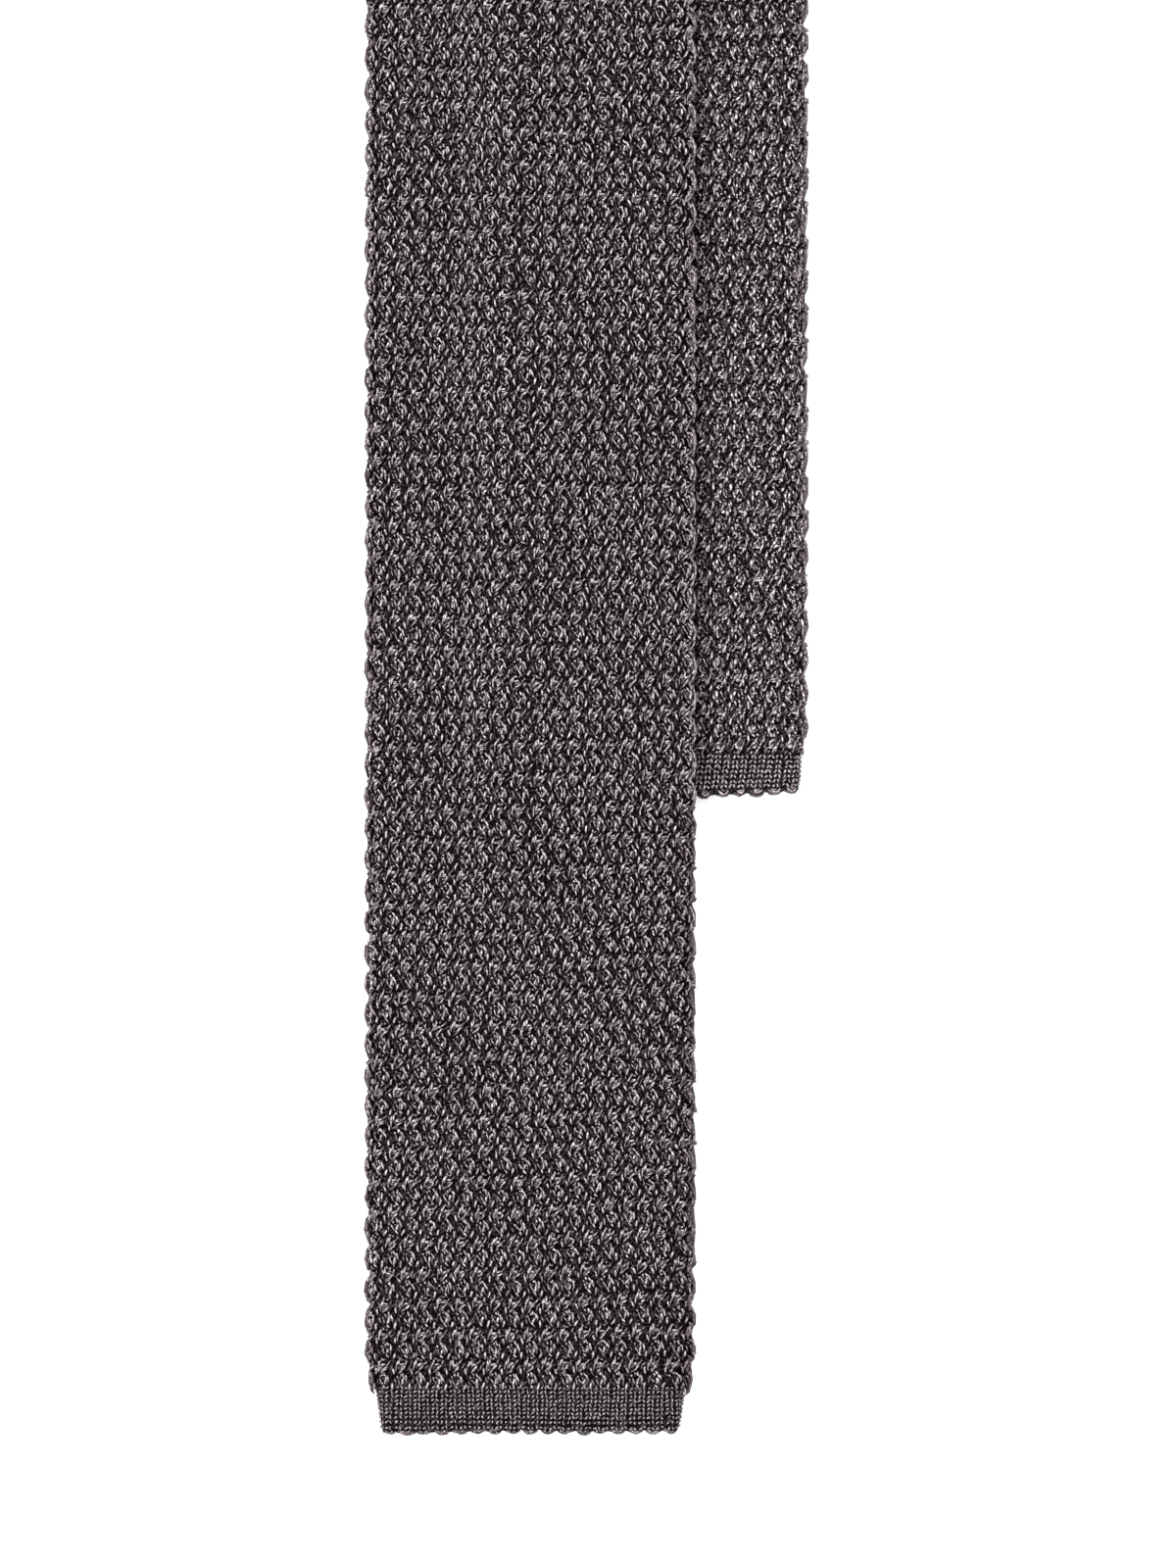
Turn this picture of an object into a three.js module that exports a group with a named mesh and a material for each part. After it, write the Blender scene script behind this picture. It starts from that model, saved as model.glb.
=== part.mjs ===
// A knitted silk necktie, folded once at its neck band and laid flat, the wide blade in front of the tail.
// Millimetres. +X runs across the tie, +Y up it from the blade's end, +Z up from the surface it lies on.
// The tie is one flattened tube of knit: a face and a back, each one wall thick, joined round both edges.
import * as THREE from "three";

// Lengths and widths of the tie as it is worn.
const TIE_LENGTH = 1450;
const BLADE_WIDTH = 60;
const NECK_WIDTH = 36;
const TAIL_WIDTH = 50;

// How it is folded: where the tail's end and its right edge lie from the blade's end and right edge.
const TAIL_END_RISE = 117;
const TAIL_SHOWS = 20.5;

// The knitted tube.
const KNIT_WALL = 2.1;
const TUBE_HOLLOW = 0.4;
const EDGE_ROUNDING = 4;

// The plain-knit hems and the scallops that end them.
const BLADE_HEM_HEIGHT = 9.3;
const BLADE_HEM_INSET = 1.5;
const BLADE_HEM_TAPER = 1.2;
const TAIL_HEM_HEIGHT = 7.4;
const TAIL_HEM_INSET = 0.8;
const TAIL_HEM_TAPER = 0.4;
const HEM_WALL = 1.7;
const SHOULDER_RUN = 5;
const SCALLOP_PITCH = 3.27;
const SCALLOP_DEPTH = 0.9;

// Clearances: between the two legs, between pieces that meet, and inside the fold.
const LEG_GAP = 0.3;
const SEAM_GAP = 0.3;
const FOLD_OPENING = 6;

// How far the cloth takes to climb on to what lies under it, and to open out towards the fold.
const SIDE_DRAPE_RUN = 14;
const END_DRAPE_RUN = 24;
const DRAPE_INSET = 1;
const FOLD_EASE_RUN = 48;

// How the outline goes from blade to neck to tail. along: share of the tie's length from the blade's end.
// blade, tail: how much of that end's width over the neck's the section has.
const OUTLINE = [
  { along: 0, blade: 1, tail: 0 },
  { along: 0.36, blade: 1, tail: 0 },
  { along: 0.44, blade: 0, tail: 0 },
  { along: 0.71, blade: 0, tail: 0 },
  { along: 0.87, blade: 0, tail: 1 },
  { along: 1, blade: 0, tail: 1 },
];

// Where the pieces meet, and where the legs start to lean towards each other, as shares of the tie's length.
const BLADE_TO_NECK = 0.44;
const NECK_TO_TAIL = 0.64;
const LEAN_FROM = 0.2;
const LEAN_STRAIGHT_FROM = 0.37;

// How finely the surfaces are divided.
const FACE_STEPS = 13;
const EDGE_STEPS = 3;
const STEPS_PER_SCALLOP = 4;
const LEG_SECTION_SPACING = 66;
const FOLD_SECTIONS = 10;
const SLOPE_PROBE = 0.05;

const CLOTH = { color: 0x4f4849, roughness: 0.85, metalness: 0 };

// Sizes that follow from the ones above.
const tubeThickness = 2 * KNIT_WALL + TUBE_HOLLOW;
const foldRadius = (tubeThickness + FOLD_OPENING) / 2;
const foldArc = Math.PI * foldRadius;
const foldStart = (TIE_LENGTH + TAIL_END_RISE - foldArc) / 2;
const foldEnd = foldStart + foldArc;
const foldMiddle = (foldStart + foldEnd) / 2;
const tailOffset = BLADE_WIDTH / 2 + TAIL_SHOWS - TAIL_WIDTH / 2;

// Smooth rise from 0 to 1 as value goes from 0 to 1.
function ease(value) {
  const t = THREE.MathUtils.clamp(value, 0, 1);
  return t * t * (3 - 2 * t);
}

// The tube's width at a length along the tie.
function tubeWidth(along) {
  const share = along / TIE_LENGTH;
  let row = 1;
  while (row < OUTLINE.length - 1 && share > OUTLINE[row].along) row += 1;
  const from = OUTLINE[row - 1];
  const to = OUTLINE[row];
  const between = ease((share - from.along) / (to.along - from.along));
  const ofBlade = THREE.MathUtils.lerp(from.blade, to.blade, between);
  const ofTail = THREE.MathUtils.lerp(from.tail, to.tail, between);
  return NECK_WIDTH + ofBlade * (BLADE_WIDTH - NECK_WIDTH) + ofTail * (TAIL_WIDTH - NECK_WIDTH);
}

// How far towards the fold's middle a leg has leant, from 0 to 1: first a bend, then straight.
function lean(along) {
  const fromFold = Math.min(along, 2 * foldMiddle - along);
  const start = LEAN_FROM * TIE_LENGTH;
  const bend = (LEAN_STRAIGHT_FROM - LEAN_FROM) * TIE_LENGTH;
  const gone = Math.max(0, fromFold - start);
  const curved = Math.min(gone, bend);
  const whole = foldMiddle - start - bend / 2;
  return (curved * curved / (2 * bend) + gone - curved) / whole;
}

// The centreline's place across the surface: the blade's is at 0, the tail's at tailOffset.
function centreX(along) {
  const half = lean(along) / 2;
  return tailOffset * (along < foldMiddle ? half : 1 - half);
}

// How high the front leg is lifted off the surface by the back leg under it.
function lift(x, y) {
  const alongTail = 2 * foldMiddle - y;
  const leftEdge = centreX(alongTail) - tubeWidth(alongTail) / 2;
  const overSide = ease((x - leftEdge - DRAPE_INSET) / SIDE_DRAPE_RUN + 1);
  const overEnd = ease((y - TAIL_END_RISE) / END_DRAPE_RUN + 1);
  const opening = ease((y - foldStart) / FOLD_EASE_RUN + 1);
  const resting = (tubeThickness + LEG_GAP) * overSide * overEnd;
  return THREE.MathUtils.lerp(resting, 2 * foldRadius, opening);
}

// The point of the cloth at a length along the tie, a distance across it from its centreline,
// and a rise towards its face from the middle of a tube of the given thickness.
function clothPoint(along, across, rise, thickness) {
  const x = centreX(along) + across;
  if (along <= foldStart) {
    const slope = (lift(x + SLOPE_PROBE, along) - lift(x - SLOPE_PROBE, along)) / (2 * SLOPE_PROBE);
    const tilt = Math.atan(slope);
    const height = lift(x, along) + thickness / 2;
    return new THREE.Vector3(x - rise * Math.sin(tilt), along, height + rise * Math.cos(tilt));
  }
  if (along < foldEnd) {
    const turn = (along - foldStart) / foldRadius;
    const reach = foldRadius + rise;
    const centreHeight = thickness / 2 + foldRadius;
    return new THREE.Vector3(x, foldStart + reach * Math.sin(turn), centreHeight + reach * Math.cos(turn));
  }
  return new THREE.Vector3(x, foldStart + foldEnd - along, thickness / 2 - rise);
}

// Places across a flat stretch of the tube's face, from -1 at its left edge to 1 at its right.
function evenStations(steps) {
  return Array.from({ length: steps + 1 }, (_, i) => (2 * i) / steps - 1);
}

// One ring round the tube: {across, rise} pairs, left to right over the face and back under it.
function ring(width, thickness, rounding, stations) {
  const flat = width / 2 - rounding;
  const points = stations.map((station) => ({ across: flat * station, rise: thickness / 2 }));
  for (let i = 1; i < 2 * EDGE_STEPS; i += 1) {
    const turn = (Math.PI / 2) * (i / EDGE_STEPS);
    points.push({ across: flat + rounding * Math.sin(turn), rise: (thickness / 2) * Math.cos(turn) });
  }
  const under = points.map(({ across, rise }) => ({ across: -across, rise: -rise }));
  return points.concat(under);
}

// A closed mesh of a hollow tube, from sections {along, width, wall, shiftEnd(across, width)}.
function tubeMesh(name, sections, stations, wall) {
  const thickness = 2 * wall + TUBE_HOLLOW;
  const positions = [];
  const index = [];
  const vertexRows = [];
  for (const section of sections) {
    const outer = ring(section.width, thickness, EDGE_ROUNDING, stations);
    const innerWidth = section.width - 2 * wall;
    const inner = ring(innerWidth, TUBE_HOLLOW, EDGE_ROUNDING - wall, stations);
    for (const loop of [outer, inner]) {
      vertexRows.push(positions.length / 3);
      loop.forEach(({ rise }, i) => {
        const shift = section.shiftEnd ? section.shiftEnd(outer[i].across, section.width) : 0;
        const point = clothPoint(section.along + shift, loop[i].across, rise, thickness);
        positions.push(point.x, point.y, point.z);
      });
    }
  }
  const count = ring(1, 1, 0, stations).length;
  const join = (rowA, rowB) => {
    for (let i = 0; i < count; i += 1) {
      const next = (i + 1) % count;
      index.push(rowA + i, rowA + next, rowB + next, rowA + i, rowB + next, rowB + i);
    }
  };
  const last = vertexRows.length - 2;
  for (let row = 0; row < last; row += 2) {
    join(vertexRows[row], vertexRows[row + 2]);
    join(vertexRows[row + 3], vertexRows[row + 1]);
  }
  join(vertexRows[1], vertexRows[0]);
  join(vertexRows[last], vertexRows[last + 1]);

  const geometry = new THREE.BufferGeometry();
  geometry.setAttribute("position", new THREE.Float32BufferAttribute(positions, 3));
  geometry.setIndex(index);
  geometry.computeVertexNormals();
  const mesh = new THREE.Mesh(geometry, new THREE.MeshStandardMaterial(CLOTH));
  mesh.name = name;
  return mesh;
}

// Lengths along the tie from one end of a piece to the other, close together where it turns over the fold.
function sectionPlaces(from, to, extra) {
  const turns = Array.from({ length: FOLD_SECTIONS + 1 }, (_, i) => foldStart + (foldArc * i) / FOLD_SECTIONS);
  const marks = [from, ...extra, ...turns, to].filter((place) => place >= from && place <= to);
  marks.sort((a, b) => a - b);
  const places = [from];
  for (const mark of marks) {
    const start = places[places.length - 1];
    const steps = Math.ceil((mark - start) / LEG_SECTION_SPACING);
    for (let i = 1; i <= steps; i += 1) places.push(start + ((mark - start) * i) / steps);
  }
  return places;
}

// The tube's width close to a hem {edge, inset}, where it draws in half way to the hem's.
function shoulderWidth(along, hem) {
  const fromHem = Math.abs(along - hem.edge) / SHOULDER_RUN;
  return tubeWidth(along) - hem.inset * (1 - ease(fromHem));
}

// A stretch of the textured tube between two lengths along the tie.
function legMesh(name, from, to, extra, hem) {
  const sections = sectionPlaces(from, to, extra).map((along) => ({
    along,
    width: hem ? shoulderWidth(along, hem) : tubeWidth(along),
  }));
  return tubeMesh(name, sections, evenStations(FACE_STEPS), KNIT_WALL);
}

// A plain-knit band that ends the tube at the length end, its other edge at the length joined.
function hemMesh(name, joined, end, inset, taper) {
  const joinedWidth = tubeWidth(joined) - 2 * inset;
  const endWidth = joinedWidth - 2 * taper;
  const scallops = Math.round(endWidth / SCALLOP_PITCH);
  const outward = Math.sign(end - joined);
  const scallop = (across, width) => {
    const place = Math.abs(Math.sin(Math.PI * scallops * (across / width + 0.5)));
    return -outward * SCALLOP_DEPTH * (1 - Math.sqrt(place));
  };
  const sections = [
    { along: joined, width: joinedWidth },
    { along: end, width: endWidth, shiftEnd: scallop },
  ];
  if (outward < 0) sections.reverse();
  const flatShare = (endWidth - 2 * EDGE_ROUNDING) / endWidth;
  const steps = Math.round(scallops * STEPS_PER_SCALLOP * flatShare);
  return tubeMesh(name, sections, evenStations(steps), HEM_WALL);
}

// Where each piece starts and ends along the tie.
const bladeStart = BLADE_HEM_HEIGHT;
const bladeStop = BLADE_TO_NECK * TIE_LENGTH;
const tailStart = NECK_TO_TAIL * TIE_LENGTH;
const tailStop = TIE_LENGTH - TAIL_HEM_HEIGHT;

// Where the tube's shape changes quickly, which takes sections closer together.
const QUARTERS = [0.25, 0.5, 0.75, 1];
const bladeDrape = [0, ...QUARTERS].map((share) => TAIL_END_RISE - share * END_DRAPE_RUN);
const foldEase = QUARTERS.map((share) => foldStart - share * FOLD_EASE_RUN);
const outlineMarks = OUTLINE.slice(1).flatMap(({ along }, row) =>
  QUARTERS.map((share) => THREE.MathUtils.lerp(OUTLINE[row].along, along, share) * TIE_LENGTH));
const bladeShoulder = [0.5, 1].map((share) => bladeStart + share * SHOULDER_RUN);
const tailShoulder = [0.5, 1].map((share) => tailStop - share * SHOULDER_RUN);

const tie = new THREE.Group();
tie.add(hemMesh("blade_hem", bladeStart - SEAM_GAP / 2, 0, BLADE_HEM_INSET, BLADE_HEM_TAPER));
tie.add(legMesh("blade", bladeStart + SEAM_GAP / 2, bladeStop - SEAM_GAP / 2,
  [...bladeShoulder, ...bladeDrape, ...outlineMarks], { edge: bladeStart, inset: BLADE_HEM_INSET }));
tie.add(legMesh("neck_band", bladeStop + SEAM_GAP / 2, tailStart - SEAM_GAP / 2,
  [...foldEase, ...outlineMarks], null));
tie.add(legMesh("tail", tailStart + SEAM_GAP / 2, tailStop - SEAM_GAP / 2,
  [...tailShoulder, ...outlineMarks], { edge: tailStop, inset: TAIL_HEM_INSET }));
tie.add(hemMesh("tail_hem", tailStop + SEAM_GAP / 2, TIE_LENGTH, TAIL_HEM_INSET, TAIL_HEM_TAPER));

// The origin is the middle of the whole tie's footprint, on the surface it lies on.
const bounds = new THREE.Box3().setFromObject(tie, true);
tie.position.set(-(bounds.min.x + bounds.max.x) / 2, -(bounds.min.y + bounds.max.y) / 2, -bounds.min.z);

export default tie;
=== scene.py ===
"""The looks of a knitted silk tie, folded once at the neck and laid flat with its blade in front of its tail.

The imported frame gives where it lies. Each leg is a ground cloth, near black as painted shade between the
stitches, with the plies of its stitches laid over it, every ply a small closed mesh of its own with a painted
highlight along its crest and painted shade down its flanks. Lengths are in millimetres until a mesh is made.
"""
import math
from collections import namedtuple

import bpy
import numpy as np
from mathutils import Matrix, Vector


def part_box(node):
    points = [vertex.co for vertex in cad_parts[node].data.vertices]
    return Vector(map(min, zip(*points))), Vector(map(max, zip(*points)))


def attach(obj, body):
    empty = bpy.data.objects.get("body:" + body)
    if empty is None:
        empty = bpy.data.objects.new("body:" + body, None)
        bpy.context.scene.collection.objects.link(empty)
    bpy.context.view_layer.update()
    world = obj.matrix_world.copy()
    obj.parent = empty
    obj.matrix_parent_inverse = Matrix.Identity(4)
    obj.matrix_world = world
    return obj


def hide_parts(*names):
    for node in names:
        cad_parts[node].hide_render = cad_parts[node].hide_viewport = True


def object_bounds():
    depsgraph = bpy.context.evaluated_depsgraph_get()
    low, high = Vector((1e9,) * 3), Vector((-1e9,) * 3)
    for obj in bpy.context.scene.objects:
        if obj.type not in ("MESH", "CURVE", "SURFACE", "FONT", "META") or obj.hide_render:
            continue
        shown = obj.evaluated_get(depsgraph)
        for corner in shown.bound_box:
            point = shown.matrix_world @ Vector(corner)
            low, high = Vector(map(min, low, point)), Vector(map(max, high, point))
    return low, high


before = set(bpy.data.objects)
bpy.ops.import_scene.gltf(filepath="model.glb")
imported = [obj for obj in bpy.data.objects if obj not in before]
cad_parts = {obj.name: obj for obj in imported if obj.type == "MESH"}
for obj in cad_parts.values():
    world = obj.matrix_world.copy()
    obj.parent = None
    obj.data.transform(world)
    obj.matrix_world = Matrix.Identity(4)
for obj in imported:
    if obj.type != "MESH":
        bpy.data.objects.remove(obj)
cad_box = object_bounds()

MM = 0.001


def box_mm(node):
    """A node's lowest and highest corners, in millimetres."""
    low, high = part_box(node)
    return np.array(low) / MM, np.array(high) / MM


# Where the frame has the tie: its two ends, its thickness and its fold.
blade_hem_low, blade_hem_high = box_mm("blade_hem")
tail_hem_low, tail_hem_high = box_mm("tail_hem")
_, tail_high = box_mm("tail")
whole_high = np.array(cad_box[1]) / MM

BLADE_X = (blade_hem_low[0] + blade_hem_high[0]) / 2
BLADE_END_Y = blade_hem_low[1]
BLADE_HEM_HEIGHT = 9.3
TAIL_X = (tail_hem_low[0] + tail_hem_high[0]) / 2
TAIL_END_Y = tail_hem_low[1]
TAIL_HEM_HEIGHT = 7.4
TUBE_THICKNESS = tail_high[2]
HEM_THICKNESS = blade_hem_high[2]
FOLD_RADIUS = (whole_high[2] - TUBE_THICKNESS) / 2
FOLD_Y = whole_high[1] - FOLD_RADIUS - TUBE_THICKNESS / 2

# Lengths along the tie, from the blade's end.
FOLD_START = FOLD_Y - BLADE_END_Y
FOLD_END = FOLD_START + math.pi * FOLD_RADIUS
FOLD_MIDDLE = (FOLD_START + FOLD_END) / 2
TAIL_END_RISE = TAIL_END_Y - BLADE_END_Y
TIE_LENGTH = FOLD_START + FOLD_END - TAIL_END_RISE
BLADE_STOP = 0.44 * TIE_LENGTH
TAIL_START = 0.64 * TIE_LENGTH
TAIL_STOP = TIE_LENGTH - TAIL_HEM_HEIGHT

# Widths across it, and how the cloth lies.
BLADE_WIDTH = 60.0
NECK_WIDTH = 36.0
TAIL_WIDTH = 50.0
EDGE_ROUNDING = 4.0
BLADE_HEM_INSET = 1.5
BLADE_HEM_TAPER = 1.2
TAIL_HEM_INSET = 0.8
TAIL_HEM_TAPER = 0.4
SHOULDER_RUN = 5.0
LEG_GAP = 0.3
SEAM_GAP = 0.3
SIDE_DRAPE_RUN = 14.0
END_DRAPE_RUN = 24.0
DRAPE_INSET = 1.0
FOLD_EASE_RUN = 48.0
LEAN_FROM = 0.2 * TIE_LENGTH
LEAN_STRAIGHT_FROM = 0.37 * TIE_LENGTH
SLOPE_PROBE = 0.05
UP_PROBE = 0.2
MAP_MARGIN = 0.06

# How the outline goes from blade to neck to tail: shares of the length, and of each end's extra width.
Outline = namedtuple("Outline", "along blade tail")
OUTLINE = (
    Outline(0.0, 1, 0),
    Outline(0.36, 1, 0),
    Outline(0.44, 0, 0),
    Outline(0.71, 0, 0),
    Outline(0.87, 0, 1),
    Outline(1.0, 0, 1),
)

# The knit: rows of bobbles and rows of loops, set half a column across from each other.
COLUMN_PITCH = 3.3
END_ROW_PITCH = 5.6
BLADE_ROW_PITCH = 5.86
TAIL_ROW_PITCH = 6.25
END_ROWS_STOP = 85.0
ROW_PITCH_RUN = 40.0
FIRST_ROW = 7.1
LAST_ROW = 1.8
KNIT_RELIEF = 1.15
PLY_RADIUS = 0.33
STRAY_RADIUS = 0.19
PLY_TAPER = 0.15
GRAIN_SWELL = 1.3
PLAIN_SWELL = 1.12
UNDER_SWELL = 1.4
SIDE_SCALLOP = 1.15
SIDE_FLATTENING = 0.75
# Painted shade: the share of their tone that stitches lose at a side edge.
SIDE_PAINTED_SHADE = 0.45
# Painted highlight: how many times brighter the edge stitches are where the blade lies over the tail.
EDGE_OVER_TAIL_PAINTED_HIGHLIGHT = 4.0
SEAM_MARGIN = 1.2
GROUND_WALL = 0.7
GROUND_STEP = 5
GROUND_CORNERS = 32
SEED = 48

# The plain-knit hems, whose ends are rolled over into scallops.
HEM_RELIEF = 0.34
HEM_PLY_RADIUS = 0.27
HEM_ROLL = 1.3
HEM_TUCK = 0.8
WIDE_ROW = 1.4
SCALLOP_PITCH = 3.27
SCALLOP_DEPTH = 0.9
SCALLOP_RUN = 3.0
SCALLOP_CORNERS = 8
DEEP_SCALLOPS_FROM = 0.12
DEEP_SCALLOPS_RUN = 0.2
FLAT_END_SHARE = 0.08
HEM_WALL = 0.6
HEM_ROW_WAVE = 0.12
HEM_WALE_WAVE = 0.15
HEM_ROW_JITTER = 0.03
HEM_WALE_JITTER = 0.05
FLOOR_CLEARANCE = 0.02

# How far plies stray from their places: turn in radians, then length, shift (dim ones more), bend, radius,
# height, tone and the whole stitch's size as shares, and the stitch's place in millimetres.
SPIN = 0.12
SPREAD = 0.1
LOOSE = 0.015
LOOSE_DIM = 0.05
BEND = 0.2
RADIUS_SPREAD = 0.12
HEIGHT_SPREAD = 0.10
TONE_SPREAD = 0.14
SIZE_SPREAD = 0.04
PLACE_JITTER = 0.06
DIM_TONE = 0.7

# Loose plies: their reach in rows and columns, turn in radians, length in millimetres, height in shares of
# the relief, and least and most radius and tone.
STRAY_ROWS = 0.3
STRAY_COLUMNS = 0.5
STRAY_TURN = 0.7
STRAY_LENGTH = (0.6, 1.5)
STRAY_HEIGHT = (0.1, 0.35, 0.1)
STRAY_HEIGHT_MORE = 0.35
STRAY_SWELL = (0.7, 1.3)
STRAY_TONE = (0.1, 0.5)

# How the columns and rows wander over the cloth.
TWIST_STOP = 118.0
TWIST_SLOPE = 0.0575
TWIST_SOFTNESS = 12.0
UPPER_DRIFT = 1.5
UPPER_DRIFT_FROM = 150.0
UPPER_DRIFT_RUN = 80.0
RIGHT_RISE = 1.7
LEFT_SAG = 0.35
SIDE_RUN = 28.0
WANDER_PERIOD = 260.0
WANDER_START = 1.2
STILL_END = 5.0
STILL_END_RUN = 30.0
RIPPLE = 0.16
RIPPLES = ((5, 7.0), (11, -5.0))

# The photograph's own view, in pixels of its 1199 by 1600 frame, and its scale.
PHOTO_WIDE = 1199
PHOTO_HIGH = 1600
PIXELS_PER_MM = 5.6
PHOTO_BLADE_X = 541
PHOTO_BLADE_END = 1466

# Where the close stitches stop: past that view, thinning out, past the turn of a side and under the blade.
VIEW_MARGIN = 2.0
VIEW_BLEND = 22.0
BLEND_ALONG = 1.7
BLEND_ACROSS = 2.3
SIDE_SEEN = 0.75
TUCKED_UNDER = 4.0


def ease(value):
    """Smooth rise from 0 to 1 as value goes from 0 to 1."""
    t = np.clip(value, 0.0, 1.0)
    return t * t * (3 - 2 * t)


def tube_width(along):
    """The tube's width at a length along the tie."""
    share = np.clip(along / TIE_LENGTH, 0, 1)
    width = np.full_like(share, NECK_WIDTH)
    for start, stop in zip(OUTLINE, OUTLINE[1:]):
        between = ease((share - start.along) / (stop.along - start.along))
        of_blade = start.blade + (stop.blade - start.blade) * between
        of_tail = start.tail + (stop.tail - start.tail) * between
        here = NECK_WIDTH + of_blade * (BLADE_WIDTH - NECK_WIDTH) + of_tail * (TAIL_WIDTH - NECK_WIDTH)
        width = np.where((share >= start.along) & (share <= stop.along), here, width)
    return width


def knit_width(along):
    """The tube's width with the shoulders that lead into its two hems."""
    at_blade = 1 - ease((along - BLADE_HEM_HEIGHT) / SHOULDER_RUN)
    at_tail = 1 - ease((TAIL_STOP - along) / SHOULDER_RUN)
    return tube_width(along) - BLADE_HEM_INSET * at_blade - TAIL_HEM_INSET * at_tail


def centre_x(along):
    """The centreline's place across the surface: the legs lean towards each other up to the fold."""
    from_fold = np.minimum(along, 2 * FOLD_MIDDLE - along)
    bend = LEAN_STRAIGHT_FROM - LEAN_FROM
    gone = np.maximum(0.0, from_fold - LEAN_FROM)
    curved = np.minimum(gone, bend)
    whole = FOLD_MIDDLE - LEAN_FROM - bend / 2
    half = (curved * curved / (2 * bend) + gone - curved) / whole / 2
    return BLADE_X + (TAIL_X - BLADE_X) * np.where(along < FOLD_MIDDLE, half, 1 - half)


def lift(x, up_tie):
    """How high the front leg is lifted off the floor by the back leg under it."""
    along_tail = 2 * FOLD_MIDDLE - up_tie
    left_edge = centre_x(along_tail) - tube_width(along_tail) / 2
    over_side = ease((x - left_edge - DRAPE_INSET) / SIDE_DRAPE_RUN + 1)
    over_end = ease((up_tie - TAIL_END_RISE) / END_DRAPE_RUN + 1)
    opening = ease((up_tie - FOLD_START) / FOLD_EASE_RUN + 1)
    resting = (TUBE_THICKNESS + LEG_GAP) * over_side * over_end
    return resting + (2 * FOLD_RADIUS - resting) * opening


def cloth_point(along, across, rise, thickness):
    """Points of the cloth: across from its centreline, and rise from the tube's middle towards its face."""
    x = centre_x(along) + across
    leg = np.minimum(along, FOLD_START)
    slope = (lift(x + SLOPE_PROBE, leg) - lift(x - SLOPE_PROBE, leg)) / (2 * SLOPE_PROBE)
    tilt = np.arctan(slope)
    front = np.stack(
        [
            x - rise * np.sin(tilt),
            BLADE_END_Y + along,
            lift(x, leg) + thickness / 2 + rise * np.cos(tilt),
        ],
        axis=-1,
    )
    turn = (along - FOLD_START) / FOLD_RADIUS
    reach = FOLD_RADIUS + rise
    fold = np.stack(
        [x, FOLD_Y + reach * np.sin(turn), thickness / 2 + FOLD_RADIUS + reach * np.cos(turn)], axis=-1
    )
    back = np.stack([x, FOLD_Y + FOLD_END - along, thickness / 2 - rise], axis=-1)
    on_front = (along <= FOLD_START)[..., None]
    on_fold = (along < FOLD_END)[..., None]
    return np.where(on_front, front, np.where(on_fold, fold, back))


def edge_length(thickness):
    """The length round one rounded edge of the tube, from face to back."""
    return math.pi * math.sqrt((EDGE_ROUNDING**2 + thickness**2 / 4) / 2)


def half_girth(width, thickness):
    """The way round the tube from the middle of its face to the middle of its back."""
    return 2 * (width / 2 - EDGE_ROUNDING) + edge_length(thickness)


def round_tube(way, width, thickness):
    """A place on the tube's section by its way round from the face's middle: across, rise, normal, edge."""
    side = np.sign(way)
    way = np.abs(way)
    flat = width / 2 - EDGE_ROUNDING
    edge = edge_length(thickness)
    turn = np.clip((way - flat) / edge, 0, 1) * math.pi
    on_face = way < flat
    on_back = way > flat + edge
    on_edge = flat + EDGE_ROUNDING * np.sin(turn)
    across = np.where(on_face, way, np.where(on_back, 2 * flat + edge - way, on_edge))
    rise = thickness / 2 * np.cos(turn)
    normal_across = thickness / 2 * np.sin(turn)
    normal_rise = EDGE_ROUNDING * np.cos(turn)
    size = np.hypot(normal_across, normal_rise)
    return side * across, rise, side * normal_across / size, normal_rise / size, side * np.sin(turn) ** 2


def row_starts():
    """Lengths along the tie of the rows of bobbles: close at the blade's end and wider on the tail."""
    rows = [FIRST_ROW]
    while rows[-1] < TIE_LENGTH:
        past_end = float(ease((rows[-1] - END_ROWS_STOP) / ROW_PITCH_RUN))
        on_tail = float(ease((rows[-1] - FOLD_START) / (TAIL_START - FOLD_START)))
        blade_pitch = END_ROW_PITCH + (BLADE_ROW_PITCH - END_ROW_PITCH) * past_end
        rows.append(rows[-1] + blade_pitch + (TAIL_ROW_PITCH - blade_pitch) * on_tail)
    rows = np.array(rows)
    last = rows[rows < TAIL_STOP + (TAIL_ROW_PITCH - LAST_ROW) / 2][-1]
    stretch = (TAIL_STOP - LAST_ROW - FOLD_START) / (last - FOLD_START)
    return np.where(rows > FOLD_START, FOLD_START + (rows - FOLD_START) * stretch, rows)


ROWS = row_starts()


def wander(along, way):
    """Where the stitch of a regular lattice really lies: the columns lean, and the rows rise to the right."""
    twisting = np.maximum(0.0, TWIST_STOP - along)
    upper = UPPER_DRIFT * ease((along - UPPER_DRIFT_FROM) / UPPER_DRIFT_RUN)
    drift = upper - TWIST_SLOPE * twisting**2 / (twisting + TWIST_SOFTNESS)
    turn = 2 * math.pi * along / WANDER_PERIOD
    over_ends = ease((along - STILL_END) / STILL_END_RUN) * ease((TAIL_STOP - along) / STILL_END_RUN)
    right = RIGHT_RISE * (0.5 + 0.5 * np.cos(turn - WANDER_START)) * ease(way / SIDE_RUN)
    left = -LEFT_SAG * ease(-way / SIDE_RUN)
    ripple = sum(RIPPLE * np.sin(waves * turn + way / run) for waves, run in RIPPLES)
    return along + (right + left + ripple) * over_ends, way + drift + ripple


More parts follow.
